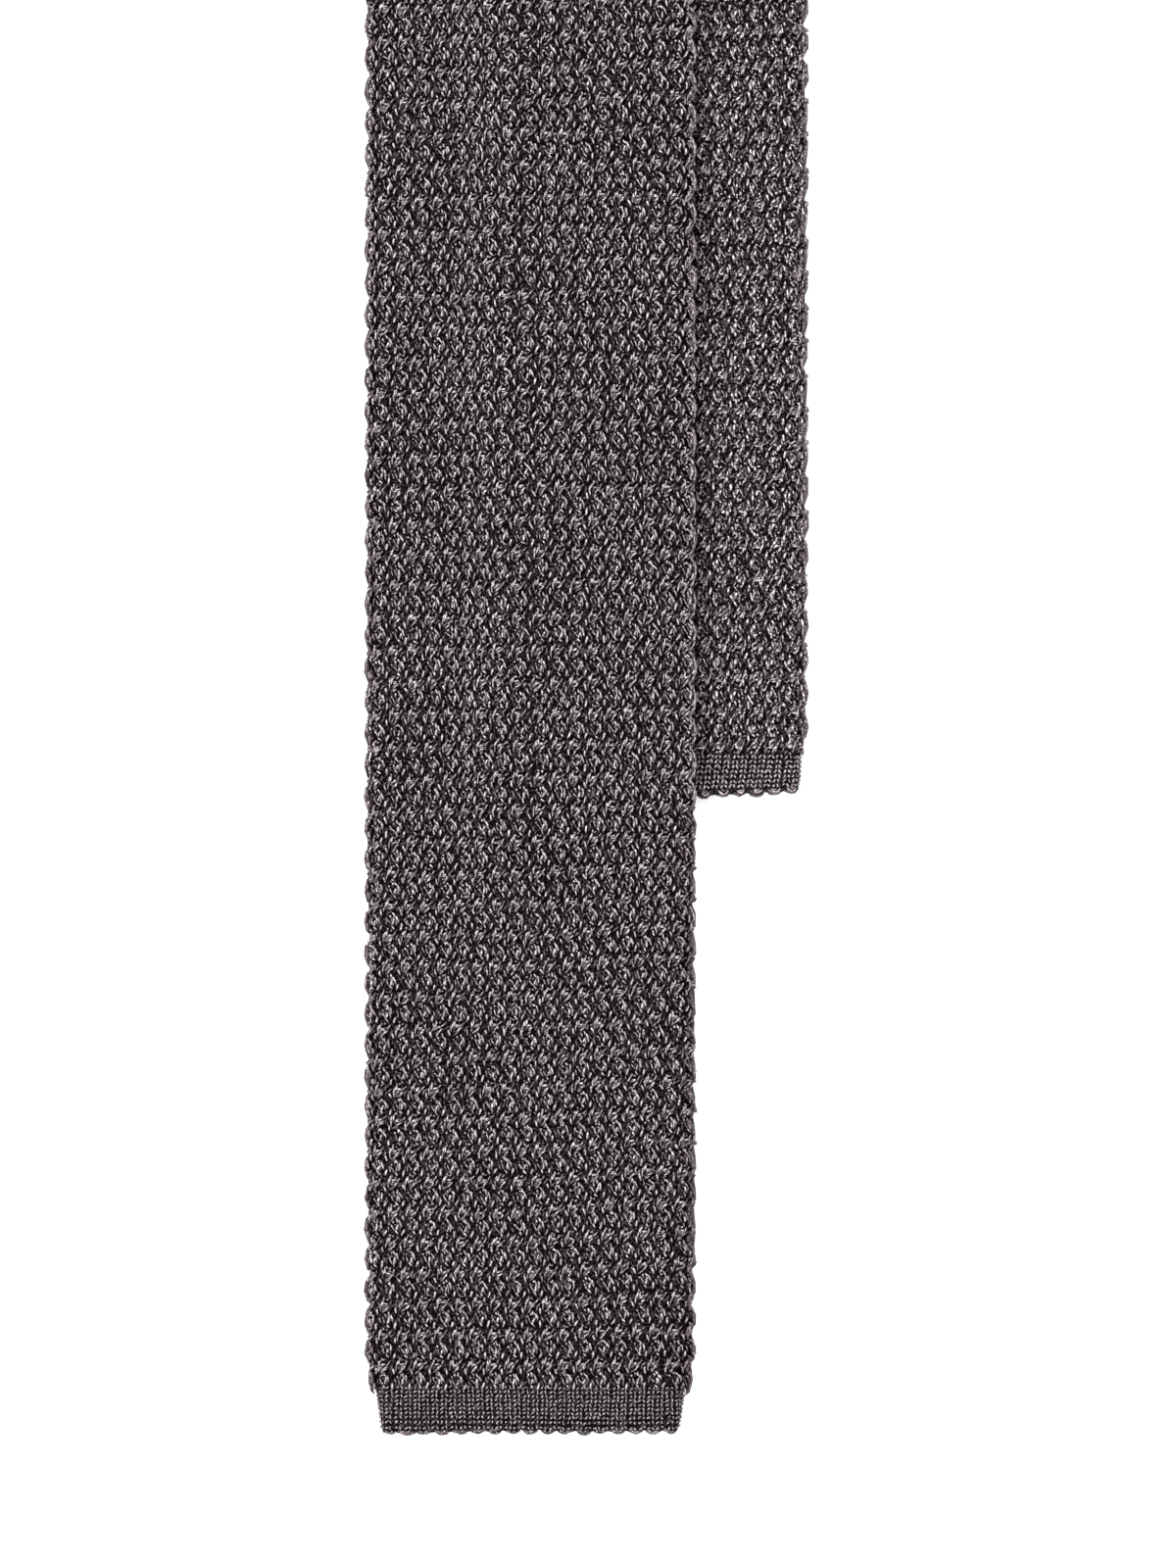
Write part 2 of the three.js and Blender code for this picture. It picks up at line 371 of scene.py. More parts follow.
def knit_point(along, way, height):
    """A point of the knit by its length along the tie, way round the tube and height over the ground."""
    across, rise, out_across, out_rise, at_edge = round_tube(way, knit_width(along), TUBE_THICKNESS)
    row = np.interp(along, ROWS, np.arange(len(ROWS)))
    scallop = SIDE_SCALLOP * (np.sqrt(np.abs(np.sin(math.pi * row))) - 1) * at_edge
    proud = (height - KNIT_RELIEF) * (1 - SIDE_FLATTENING * np.abs(at_edge))
    return cloth_point(along, across + out_across * proud + scallop, rise + out_rise * proud, TUBE_THICKNESS)


# A hem: the lengths along the tie at which it joins the knit and ends, its width where it joins, how far
# each side draws in, how far its end drops past the frame's and how much it rises again to the right, the
# share of their depth that its scallops have at the left, and its stitches: their two pitches, and how many
# rows and wider rows there are.
Hem = namedtuple("Hem", "joined end width taper drop slant left_depth column row rows wide_rows")
BLADE_HEM = Hem(
    joined=BLADE_HEM_HEIGHT - SEAM_GAP / 2,
    end=0.0,
    width=BLADE_WIDTH - 2 * BLADE_HEM_INSET,
    taper=BLADE_HEM_TAPER,
    drop=0.0,
    slant=0.0,
    left_depth=0.25,
    column=1.64,
    row=0.77,
    rows=8,
    wide_rows=2,
)
TAIL_HEM = Hem(
    joined=TAIL_STOP + SEAM_GAP / 2,
    end=TIE_LENGTH,
    width=TAIL_WIDTH - 2 * TAIL_HEM_INSET,
    taper=TAIL_HEM_TAPER,
    drop=0.9,
    slant=0.045,
    left_depth=0.8,
    column=1.56,
    row=0.84,
    rows=7,
    wide_rows=0,
)


def scallop_count(hem):
    """How many scallops a hem's end has on its face."""
    return round((hem.width - 2 * hem.taper) / SCALLOP_PITCH)


def hem_point(down, way, height, hem):
    """A point of a hem: down from where it joins the knit, round its tube, and over its ground."""
    tall = abs(hem.end - hem.joined)
    width = hem.width - 2 * hem.taper * np.clip(down / tall, 0, 1)
    across, rise, out_across, out_rise, _ = round_tube(way, width, HEM_THICKNESS)
    left = tall - down
    roll = np.clip(1 - left / HEM_ROLL, 0, 1)
    flat = np.sqrt(1 - roll * roll)
    side = across / width + 0.5
    deepening = ease((side - DEEP_SCALLOPS_FROM) / DEEP_SCALLOPS_RUN)
    depth = SCALLOP_DEPTH * (hem.left_depth + (1 - hem.left_depth) * deepening)
    notch = depth * (1 - np.sqrt(np.abs(np.sin(math.pi * scallop_count(hem) * side))))
    proud = height - HEM_RELIEF
    longer = (hem.drop - hem.slant * np.maximum(across - hem.width / 8, 0)) / tall
    down = down * (1 + longer) + proud * roll - notch * ease(1 - left / SCALLOP_RUN)
    rise = rise * (FLAT_END_SHARE + (1 - FLAT_END_SHARE) * flat) + out_rise * proud * flat
    along = hem.joined + math.copysign(1, hem.end - hem.joined) * down
    return cloth_point(along, across + out_across * proud, rise, HEM_THICKNESS)


# One ply of a stitch. width: share of the ply's usual radius. tone: how much painted highlight its crest
# gets, of 1.
# close, plain, under: how many rings of corners it has in a stitch that the photograph shows, in another that
# is seen from above, and in one that lies underneath, with 0 where it is left out. path: points (across in
# columns, along in rows, height in shares of the relief) from the stitch's middle.
Ply = namedtuple("Ply", "width tone close plain under path")
CLOSE, PLAIN, UNDER = (Ply._fields.index(level) for level in ("close", "plain", "under"))

CROWN = (
    Ply(2.60, 0.28, 2, 1, 1, ((-0.22, -0.12, 0.50), (-0.02, 0.02, 0.72), (0.17, 0.12, 0.50))),
    Ply(0.75, 0.75, 2, 0, 0, ((-0.30, -0.20, 0.30), (-0.28, -0.02, 0.65), (-0.24, 0.13, 0.60))),
    Ply(1.00, 1.00, 2, 1, 0, ((-0.26, 0.03, 0.70), (-0.22, 0.12, 0.90), (-0.17, 0.22, 0.50))),
    Ply(0.70, 0.85, 2, 1, 0, ((-0.22, -0.02, 0.70), (-0.18, 0.12, 0.95), (-0.13, 0.24, 0.50))),
    Ply(0.90, 0.95, 2, 1, 0, ((-0.16, 0.04, 0.75), (-0.11, 0.16, 1.00), (-0.06, 0.28, 0.50))),
    Ply(0.90, 1.00, 2, 1, 1, ((-0.09, 0.06, 0.85), (0.05, 0.10, 1.15), (0.19, 0.08, 0.85))),
    Ply(0.70, 0.85, 2, 1, 0, ((-0.10, 0.03, 0.85), (0.05, 0.06, 1.15), (0.20, 0.03, 0.85))),
    Ply(1.00, 1.00, 2, 1, 1, ((0.02, -0.10, 0.75), (0.14, -0.02, 1.20), (0.26, 0.045, 0.80))),
    Ply(0.70, 0.85, 2, 0, 0, ((-0.01, -0.12, 0.75), (0.11, -0.05, 1.15), (0.22, 0.00, 0.80))),
)
ROOT = (
    Ply(0.80, 0.70, 2, 1, 0, ((0.10, -0.07, 0.75), (0.00, -0.15, 0.65), (-0.14, -0.23, 0.25))),
    Ply(0.70, 0.60, 2, 0, 0, ((0.04, -0.06, 0.75), (-0.06, -0.13, 0.60), (-0.18, -0.18, 0.25))),
    Ply(0.65, 0.80, 2, 1, 0, ((0.17, 0.03, 0.30), (0.32, 0.14, 0.70), (0.42, 0.24, 0.35))),
    Ply(0.70, 0.60, 2, 0, 0, ((0.12, 0.14, 0.60), (0.22, 0.06, 0.75), (0.22, -0.07, 0.45))),
    Ply(1.10, 0.95, 2, 1, 1, ((-0.47, -0.03, 0.40), (-0.43, -0.15, 0.80), (-0.37, -0.29, 0.35))),
    Ply(0.90, 0.90, 1, 1, 0, ((0.00, -0.20, 0.40), (0.04, -0.265, 0.75), (0.06, -0.34, 0.40))),
    Ply(0.90, 0.80, 1, 1, 0, ((-0.19, -0.30, 0.40), (-0.15, -0.35, 0.70), (-0.11, -0.40, 0.40))),
    Ply(0.80, 0.75, 1, 0, 0, ((-0.11, 0.33, 0.35), (-0.04, 0.27, 0.65), (0.02, 0.20, 0.40))),
    Ply(0.80, 0.70, 1, 0, 0, ((0.03, 0.21, 0.40), (0.12, 0.235, 0.70), (0.21, 0.29, 0.35))),
    Ply(0.65, 0.50, 2, 0, 0, ((-0.62, -0.05, 0.20), (-0.50, 0.02, 0.40), (-0.38, 0.07, 0.20))),
    Ply(0.65, 0.50, 2, 0, 0, ((0.34, -0.11, 0.20), (0.43, -0.01, 0.40), (0.50, 0.10, 0.20))),
)
LOOP = (
    Ply(2.00, 0.28, 2, 1, 0, ((-0.20, 0.20, 0.35), (-0.22, 0.03, 0.62), (-0.26, -0.14, 0.35))),
    Ply(1.00, 0.95, 2, 1, 1, ((-0.33, 0.33, 0.40), (-0.265, 0.245, 0.80), (-0.20, 0.16, 0.60))),
    Ply(1.05, 0.90, 2, 1, 1, ((-0.21, 0.25, 0.45), (-0.08, 0.13, 0.90), (-0.02, -0.07, 0.35))),
    Ply(0.75, 0.65, 2, 0, 0, ((-0.25, 0.23, 0.45), (-0.15, 0.15, 0.80), (-0.08, 0.03, 0.45))),
    Ply(1.20, 1.00, 2, 1, 1, ((-0.21, 0.12, 0.60), (-0.265, 0.015, 1.15), (-0.32, -0.10, 0.60))),
    Ply(0.75, 0.65, 2, 1, 0, ((-0.17, 0.14, 0.50), (-0.16, 0.01, 0.85), (-0.13, -0.13, 0.35))),
    Ply(0.95, 0.90, 2, 1, 0, ((-0.39, -0.08, 0.40), (-0.30, -0.155, 0.85), (-0.22, -0.23, 0.40))),
    Ply(0.65, 0.75, 2, 0, 0, ((-0.59, 0.15, 0.25), (-0.49, 0.01, 0.60), (-0.35, -0.12, 0.45))),
    Ply(1.15, 1.00, 2, 1, 1, ((0.15, -0.02, 0.60), (0.10, -0.13, 1.05), (0.03, -0.29, 0.35))),
    Ply(0.65, 0.55, 2, 0, 0, ((0.22, 0.13, 0.20), (0.29, 0.00, 0.45), (0.33, -0.12, 0.20))),
    Ply(0.60, 0.50, 1, 0, 0, ((-0.44, 0.18, 0.20), (-0.40, 0.11, 0.45), (-0.35, 0.05, 0.20))),
    Ply(1.70, 0.26, 1, 0, 0, ((0.16, 0.06, 0.30), (0.11, -0.12, 0.58), (0.04, -0.30, 0.30))),
)

EDGE = (
    Ply(1.30, 0.14, 3, 2, 2, ((0.00, -0.48, 0.80), (0.02, 0.00, 1.20), (0.00, 0.48, 0.80))),
    Ply(0.60, 0.50, 3, 1, 0, ((-0.18, -0.38, 0.90), (-0.24, 0.02, 1.25), (-0.16, 0.30, 0.90))),
    Ply(0.60, 0.40, 3, 0, 0, ((0.16, -0.30, 0.90), (0.24, -0.03, 1.25), (0.16, 0.38, 0.90))),
)

# The hems' stitches: across in wales, along in rows, from the stitch's middle. The scallops: across in
# scallops, along in millimetres from the end.
BLADE_HEM_STITCH = (
    Ply(1.00, 1.00, 2, 2, 2, ((-0.42, -0.34, 0.45), (-0.26, 0.02, 1.00), (-0.08, 0.34, 0.45))),
    Ply(0.90, 0.95, 2, 2, 2, ((0.13, 0.48, 0.45), (0.21, 0.02, 1.00), (0.26, -0.46, 0.45))),
)
TAIL_HEM_STITCH = (
    Ply(1.25, 1.00, 2, 2, 2, ((-0.38, -0.44, 0.45), (-0.24, 0.02, 1.00), (-0.07, 0.46, 0.45))),
    Ply(1.30, 0.90, 2, 2, 2, ((0.07, 0.46, 0.45), (0.22, 0.06, 1.00), (0.36, -0.44, 0.45))),
)
BLADE_SCALLOP = (
    Ply(1.60, 0.32, 5, 5, 5, ((-0.44, 0.34, 0.30), (0.00, 0.10, 0.70), (0.44, 0.34, 0.30))),
    Ply(1.40, 0.42, 5, 5, 5, ((-0.38, 0.80, 0.40), (0.00, 0.48, 0.80), (0.38, 0.80, 0.40))),
    Ply(0.80, 0.95, 1, 1, 1, ((-0.26, 0.75, 0.90), (-0.19, 0.60, 1.20), (-0.12, 0.48, 0.90))),
    Ply(0.80, 0.90, 1, 1, 1, ((0.04, 0.78, 0.90), (0.11, 0.66, 1.20), (0.18, 0.52, 0.90))),
    Ply(0.60, 0.80, 1, 1, 1, ((-0.05, 0.40, 0.90), (0.00, 0.28, 1.15), (0.07, 0.18, 0.90))),
    Ply(0.60, 0.70, 1, 1, 1, ((0.22, 0.50, 0.90), (0.28, 0.40, 1.15), (0.33, 0.32, 0.90))),
    Ply(0.60, 0.70, 1, 1, 1, ((-0.36, 0.52, 0.90), (-0.32, 0.40, 1.15), (-0.26, 0.30, 0.90))),
)
TAIL_SCALLOP = (
    Ply(1.60, 0.45, 5, 5, 5, ((-0.44, 0.34, 0.30), (0.00, 0.10, 0.70), (0.44, 0.34, 0.30))),
    Ply(1.20, 0.40, 5, 5, 5, ((-0.40, 0.80, 0.40), (0.00, 0.40, 0.80), (0.40, 0.80, 0.40))),
    Ply(1.35, 1.00, 5, 5, 5, ((-0.27, 1.35, 0.90), (-0.02, 0.70, 1.40), (0.26, 1.40, 0.90))),
    Ply(0.80, 0.90, 2, 2, 2, ((-0.14, 1.55, 0.60), (0.00, 1.15, 1.00), (0.14, 1.55, 0.60))),
)

# A ply's two tips and the rings between them, as shares of its length, by its number of rings.
RING_STEPS = {
    1: (0.0, 0.5, 1.0),
    2: (0.0, 0.31, 0.69, 1.0),
    3: (0.0, 0.15, 0.5, 0.85, 1.0),
    5: (0.0, 0.1, 0.28, 0.5, 0.72, 0.9, 1.0),
}


def path_at(path, steps):
    """Places on the one curve through a ply's few path points."""
    marks = np.linspace(0, 1, len(path))
    points = np.zeros((len(steps), 3))
    for i, point in enumerate(path):
        others = np.delete(marks, i)
        weight = np.prod((steps[:, None] - others) / (marks[i] - others), axis=1)
        points += weight[:, None] * np.array(point)
    return points


def stitch_places(start, stop, back, half_row):
    """Length along, way round and row pitch of each stitch of one kind on one side of the tube."""
    along, way, pitch = [], [], []
    pitches = np.diff(ROWS)
    for row, row_pitch in zip(ROWS[:-1], pitches):
        here = row + half_row * row_pitch
        if not start <= here <= stop:
            continue
        width = float(knit_width(np.array(here)))
        girth = half_girth(width, TUBE_THICKNESS) - SEAM_MARGIN
        turn = width / 2 - EDGE_ROUNDING + edge_length(TUBE_THICKNESS) / 2
        offset = 0.5 - half_row
        most = int(girth / COLUMN_PITCH) + 1
        ways = (np.arange(-most, most + 1) + offset) * COLUMN_PITCH
        ways = ways[(np.abs(ways) < girth) & ((np.abs(ways) > turn) == back)]
        along.append(np.full(len(ways), here))
        way.append(ways)
        pitch.append(np.full(len(ways), row_pitch))
    return np.concatenate(along), np.concatenate(way), np.concatenate(pitch)


def detail_of(along, way):
    """The detail of each stitch: close in the photograph's view, plain where seen past it, or under."""
    width = knit_width(along)
    _, _, _, out_rise, at_edge = round_tube(way, width, TUBE_THICKNESS)
    points = knit_point(along, way, np.full(along.shape, KNIT_RELIEF))
    margin = VIEW_MARGIN + VIEW_BLEND * np.mod(BLEND_ALONG * along + BLEND_ACROSS * way, 1)
    in_view = points[..., 1] < BLADE_END_Y + PHOTO_BLADE_END / PIXELS_PER_MM + margin
    on_side = np.abs(at_edge) > SIDE_SEEN
    above = 2 * FOLD_MIDDLE - along
    beside_front = np.abs(points[..., 0] - centre_x(above)) > tube_width(above) / 2 - TUCKED_UNDER
    front_shows = (along < FOLD_MIDDLE) & ((out_rise > 0) | on_side)
    back_shows = (along > FOLD_MIDDLE) & ((out_rise < 0) | on_side) & beside_front
    fold_shows = (along > FOLD_MIDDLE) & (along < FOLD_END) & (out_rise > 0)
    shows = front_shows | back_shows | fold_shows
    return np.where(shows & in_view, CLOSE, np.where(shows, PLAIN, UNDER))


def painted_side_shade(way, width, thickness, over_tail=False):
    """The share of their painted highlight that stitches keep: less, as painted shade, towards a side edge
    that turns away to the floor.
    """
    return 1 - SIDE_PAINTED_SHADE * np.abs(round_tube(way, width, thickness)[-1]) * (1 - over_tail)


def lies_over_tail(along, way):
    """1 for stitches of the blade's right half where it lies on the tail, and 0 for all others."""
    return ((way > 0) & (along > TAIL_END_RISE) & (along < FOLD_START)).astype(float)


def laid_plies(chart, along, way, row_pitch, column, detail, light, radius, relief, rng):
    """The plies of many stitches of one kind, by their number of rings, each a little off its place."""
    count = len(along)
    size = rng.normal(1, SIZE_SPREAD, count)
    made = {}
    for level, swell in ((CLOSE, 1.0), (PLAIN, PLAIN_SWELL), (UNDER, UNDER_SWELL)):
        chosen = detail == level
        n = int(chosen.sum())
        for ply in chart:
            rings = ply[level]
            if not (n and rings):
                continue
            path = path_at(ply.path, np.array(RING_STEPS[rings]))
            spread = rng.normal(1, SPREAD, (n, 1))
            spin = rng.normal(0, SPIN, (n, 1))
            loose = LOOSE_DIM if ply.tone < DIM_TONE else LOOSE
            middle = path[:, :2].mean(axis=0)
            row = row_pitch[chosen, None]
            aside = (path[:, 0] - middle[0]) * column
            ahead = (path[:, 1] - middle[1]) * row
            turned = aside * np.cos(spin) - ahead * np.sin(spin)
            ahead = aside * np.sin(spin) + ahead * np.cos(spin)
            bend = rng.normal(0, BEND * radius, (n, len(path), 2))
            off = rng.normal(0, loose, (n, 1, 2)) * column
            ways = way[chosen, None] + middle[0] * column * size[chosen, None]
            ways = ways + turned * spread + bend[..., 0] + off[..., 0]
            alongs = along[chosen, None] + middle[1] * row * size[chosen, None]
            alongs = alongs + ahead * spread + bend[..., 1] + off[..., 1]
            radii = radius * ply.width * rng.normal(1, RADIUS_SPREAD, n)
            radii *= (GRAIN_SWELL if rings == 1 else 1.0) * swell
            heights = path[:, 2] * relief * rng.normal(1, HEIGHT_SPREAD, (n, 1)) - radii[:, None]
            made.setdefault(rings, []).append((alongs, ways, heights, radii, ply.tone * light[chosen]))
    return made


def stitches(chart, start, stop, back, half_row, rng):
    """All plies of one kind of stitch on a stretch of one side of the tube."""
    along, way, pitch = stitch_places(start, stop, back, half_row)
    along, way = wander(along, way)
    way = way + rng.normal(0, PLACE_JITTER, len(way))
    along = along + rng.normal(0, PLACE_JITTER, len(along))
    detail = detail_of(along, way)
    # Painted shade towards the side edges, left off where the blade lies over the tail.
    light = painted_side_shade(way, knit_width(along), TUBE_THICKNESS, lies_over_tail(along, way))
    return laid_plies(chart, along, way, pitch, COLUMN_PITCH, detail, light, PLY_RADIUS, KNIT_RELIEF, rng)


def stray_plies(start, stop, back, each, rng):
    """Short plies that lie loose between the stitches of one side, where the photograph shows them."""
    places = [stitch_places(start, stop, back, half_row)[:2] for half_row in (0.0, 0.5)]
    along, way = (np.concatenate(part) for part in zip(*places))
    shown = detail_of(along, way) == CLOSE
    along = np.repeat(along[shown], each)
    way = np.repeat(way[shown], each)
    n = len(along)
    along = along + rng.uniform(-STRAY_ROWS, STRAY_ROWS, n) * BLADE_ROW_PITCH
    way = way + rng.uniform(-STRAY_COLUMNS, STRAY_COLUMNS, n) * COLUMN_PITCH
    turn = rng.normal(math.pi / 2, STRAY_TURN, n)
    steps = (np.array(RING_STEPS[1]) - 0.5) * rng.uniform(*STRAY_LENGTH, (n, 1))
    alongs = along[:, None] + steps * np.sin(turn)[:, None]
    ways = way[:, None] + steps * np.cos(turn)[:, None]
    heights = np.array(STRAY_HEIGHT) + rng.uniform(0.0, STRAY_HEIGHT_MORE, (n, 1))
    radius = STRAY_RADIUS * rng.uniform(*STRAY_SWELL, n)
    return {1: [(alongs, ways, heights, radius, rng.uniform(*STRAY_TONE, n))]}


def side_stitches(start, stop, rng):
    """The stitches that turn round the tube's two side edges, one to each row of loops."""
    rows = (ROWS[:-1] + ROWS[1:]) / 2
    inside = (rows >= start) & (rows <= stop)
    along = np.concatenate([rows[inside], rows[inside]])
    pitch = np.tile(np.diff(ROWS)[inside], 2)
    turn = knit_width(along) / 2 - EDGE_ROUNDING + edge_length(TUBE_THICKNESS) / 2
    way = turn * np.where(np.arange(len(along)) < inside.sum(), -1, 1)
    along, _ = wander(along, way)
    detail = detail_of(along, way)
    # Painted highlight on the edge stitches where the blade lies over the tail.
    light = 1 + (EDGE_OVER_TAIL_PAINTED_HIGHLIGHT - 1) * lies_over_tail(along, way)
    return laid_plies(EDGE, along, way, pitch, COLUMN_PITCH, detail, light, PLY_RADIUS, KNIT_RELIEF, rng)


def ply_template(steps):
    """One ply's faces: corners, corners per face, and each corner's place in the ply's own flat map."""
    rings = len(steps) - 2
    far_tip = 1 + 3 * rings
    corners, counts, places = [], [], []

    def vertex(ring, side):
        return 1 + 3 * ring + side % 3

    for side in range(3):
        corners += [0, vertex(0, side), vertex(0, side + 1)]
        places += [((side + 0.5) / 3, 0.0), (side / 3, steps[1]), ((side + 1) / 3, steps[1])]
        counts.append(3)
        for ring in range(rings - 1):
            here, there = steps[ring + 1], steps[ring + 2]
            corners += [
                vertex(ring, side),
                vertex(ring + 1, side),
                vertex(ring + 1, side + 1),
                vertex(ring, side + 1),
            ]
            places += [(side / 3, here), (side / 3, there), ((side + 1) / 3, there), ((side + 1) / 3, here)]
            counts.append(4)
        last = steps[rings]
        corners += [vertex(rings - 1, side), far_tip, vertex(rings - 1, side + 1)]
        places += [(side / 3, last), ((side + 0.5) / 3, 1.0), ((side + 1) / 3, last)]
        counts.append(3)
    return np.array(corners), np.array(counts), np.array(places)


def ply_vertices(points, tops, radius, steps):
    """Vertices of many plies, (plies, vertices, 3): a tip, rings of three with one on top, and a tip."""
    tangent = np.gradient(points, axis=1)
    tangent /= np.linalg.norm(tangent, axis=2, keepdims=True)
    up = tops - points
    side = np.cross(tangent, up)
    side /= np.linalg.norm(side, axis=2, keepdims=True)
    up = np.cross(side, tangent)
    count = len(points)
    rings = len(steps) - 2
    swell = 1 - PLY_TAPER + PLY_TAPER * np.sin(math.pi * steps[1:-1])
    reach = radius[:, None, None] * swell[None, :, None]
    middle = points[:, 1:-1]
    vertices = np.empty((count, 2 + 3 * rings, 3))
    vertices[:, 0] = points[:, 0]
    vertices[:, -1] = points[:, -1]
    for number, angle in enumerate((90, 210, 330)):
        turn = math.radians(angle)
        ring = middle + reach * (math.cos(turn) * side[:, 1:-1] + math.sin(turn) * up[:, 1:-1])
        vertices[:, 1 + number : -1 : 3] = ring
    return vertices


def new_object(name, mesh, material, slot, *nodes):
    """A piece on the root body with its material and the CAD nodes that it stands for; slot is not used."""
    piece = bpy.data.objects.new(name, mesh)
    bpy.context.scene.collection.objects.link(piece)
    mesh.materials.append(material)
    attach(piece, "root")
    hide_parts(*nodes)
    return piece


def mesh_from(name, vertices, corners, counts):
    """A smooth mesh in metres, flattened at the floor, from vertices in millimetres and their corners."""
    vertices[:, 2] = np.maximum(vertices[:, 2], FLOOR_CLEARANCE)
    mesh = bpy.data.meshes.new(name)
    mesh.vertices.add(len(vertices))
    mesh.vertices.foreach_set("co", (vertices * MM).astype(np.float32).ravel())
    mesh.loops.add(len(corners))
    mesh.loops.foreach_set("vertex_index", corners.astype(np.int32))
    starts = np.concatenate([[0], np.cumsum(counts)[:-1]])
    mesh.polygons.add(len(counts))
    mesh.polygons.foreach_set("loop_start", starts.astype(np.int32))
    mesh.polygons.foreach_set("use_smooth", np.full(len(counts), True))
    mesh.update(calc_edges=True)
    mesh.validate()
    return mesh


def ply_piece(name, groups, point_at, material, slot, nodes, rng):
    """One mesh of many plies. groups: by number of rings, lists of (along, way, height, radius, tone)."""
    total = sum(len(plies[-1]) for group in groups.values() for plies in group)
    grid = math.ceil(math.sqrt(total))
    all_vertices, all_corners, all_counts, all_maps, all_marks = [], [], [], [], []
    vertex_base = ply_base = 0
    for rings, plies in groups.items():
        steps = np.array(RING_STEPS[rings])
        along, way, height, radius, tone = (np.concatenate(part) for part in zip(*plies))
        points = point_at(along, way, height)
        tops = point_at(along, way, height + UP_PROBE)
        vertices = ply_vertices(points, tops, radius, steps)
        corners, counts, places = ply_template(steps)
        n, each = vertices.shape[:2]
        bases = vertex_base + each * np.arange(n)
        all_vertices.append(vertices.reshape(-1, 3))
        all_corners.append((corners[None] + bases[:, None]).ravel())
        all_counts.append(np.tile(counts, n))
        number = ply_base + np.arange(n)
        cell = np.stack([number % grid, number // grid], axis=-1)[:, None]
        inset = MAP_MARGIN + (1 - 2 * MAP_MARGIN) * places[None]
        all_maps.append(((cell + inset) / grid).reshape(-1, 2))
        side = np.zeros(each)
        side[2:-1:3] = -1
        side[3:-1:3] = 1
        length = np.zeros(each)
        length[1:-1] = np.repeat(steps[1:-1], 3)
        length[-1] = 1
        marks = np.empty((n, each, 3))
        marks[..., 0] = side
        marks[..., 1] = length
        marks[..., 2] = (tone + rng.normal(0, TONE_SPREAD, n))[:, None]
        all_marks.append(marks.reshape(-1, 3))
        vertex_base += n * each
        ply_base += n
    mesh = mesh_from(
        name, np.concatenate(all_vertices), np.concatenate(all_corners), np.concatenate(all_counts)
    )
    flat_map = mesh.uv_layers.new(name="OFBake", do_init=False)
    flat_map.data.foreach_set("uv", np.concatenate(all_maps).astype(np.float32).ravel())
    ply_marks = mesh.attributes.new("ply", "FLOAT_VECTOR", "POINT")
    ply_marks.data.foreach_set("vector", np.concatenate(all_marks).astype(np.float32).ravel())
    return new_object(name, mesh, material, slot, *nodes)


def tube_sheet(name, places, ring_ways, point_at, wall, material, slot, nodes):
    """A hollow tube of cloth, open at both ends: an outer and an inner skin of rings at each length."""
    outer = point_at(*np.meshgrid(places, ring_ways, indexing="ij"), 0.0)
    inner = point_at(*np.meshgrid(places, ring_ways, indexing="ij"), -wall)
    rows, ring = outer.shape[:2]
    vertices = np.concatenate([outer.reshape(-1, 3), inner.reshape(-1, 3)])
    number = np.arange(rows * ring).reshape(rows, ring)
    after = np.roll(number, -1, axis=1)
    skin = np.stack([number[:-1], after[:-1], after[1:], number[1:]], axis=-1).reshape(-1, 4)
    lining = skin[:, ::-1] + rows * ring
    first = np.stack([number[0], number[0] + rows * ring, after[0] + rows * ring, after[0]], axis=-1)
    last = np.stack([number[-1], after[-1], after[-1] + rows * ring, number[-1] + rows * ring], axis=-1)
    faces = np.concatenate([skin, lining, first, last])
    mesh = mesh_from(name, vertices, faces.ravel(), np.full(len(faces), 4))
    return new_object(name, mesh, material, slot, *nodes)


def principled(name):
    """A new material, and its nodes and links."""
    material = bpy.data.materials.new(name)
    material.use_nodes = True
    return material, material.node_tree.nodes, material.node_tree.links


def add_node(tree, kind, **values):
    """A shader node with its settings, and the values of its unlinked inputs by name."""
    node = tree.nodes.new(kind)
    for title, value in values.items():
        if hasattr(node, title):
            setattr(node, title, value)
        else:
            node.inputs[title.replace("_", " ")].default_value = value
    return node


def feed(tree, socket, value):
    """Links a socket to another one, or gives it a plain value."""
    if isinstance(value, bpy.types.NodeSocket):
        tree.links.new(value, socket)
    else:
        socket.default_value = value


def maths(tree, operation, *values):
    """The result of one operation on links and plain numbers."""
    node = add_node(tree, "ShaderNodeMath", operation=operation)
    for socket, value in zip(node.inputs, values):
        feed(tree, socket, value)
    return node.outputs[0]


def ranged(tree, value, shape="SMOOTHSTEP", **limits):
    """A value carried from one range to another, each limit a link or a plain number."""
    node = add_node(tree, "ShaderNodeMapRange", interpolation_type=shape)
    feed(tree, node.inputs["Value"], value)
    for title, limit in limits.items():
        feed(tree, node.inputs[title.replace("_", " ")], limit)
    return node.outputs["Result"]


def mixed_colour(tree, share, first, second):
    """The colour between two others, at the share of the way that a link gives."""
    mix = add_node(tree, "ShaderNodeMix", data_type="RGBA")
    sockets = [socket for socket in mix.inputs if socket.type == "RGBA"]
    tree.links.new(share, mix.inputs[0])
    tree.links.new(first, sockets[0])
    tree.links.new(second, sockets[1])
    return next(socket for socket in mix.outputs if socket.type == "RGBA")


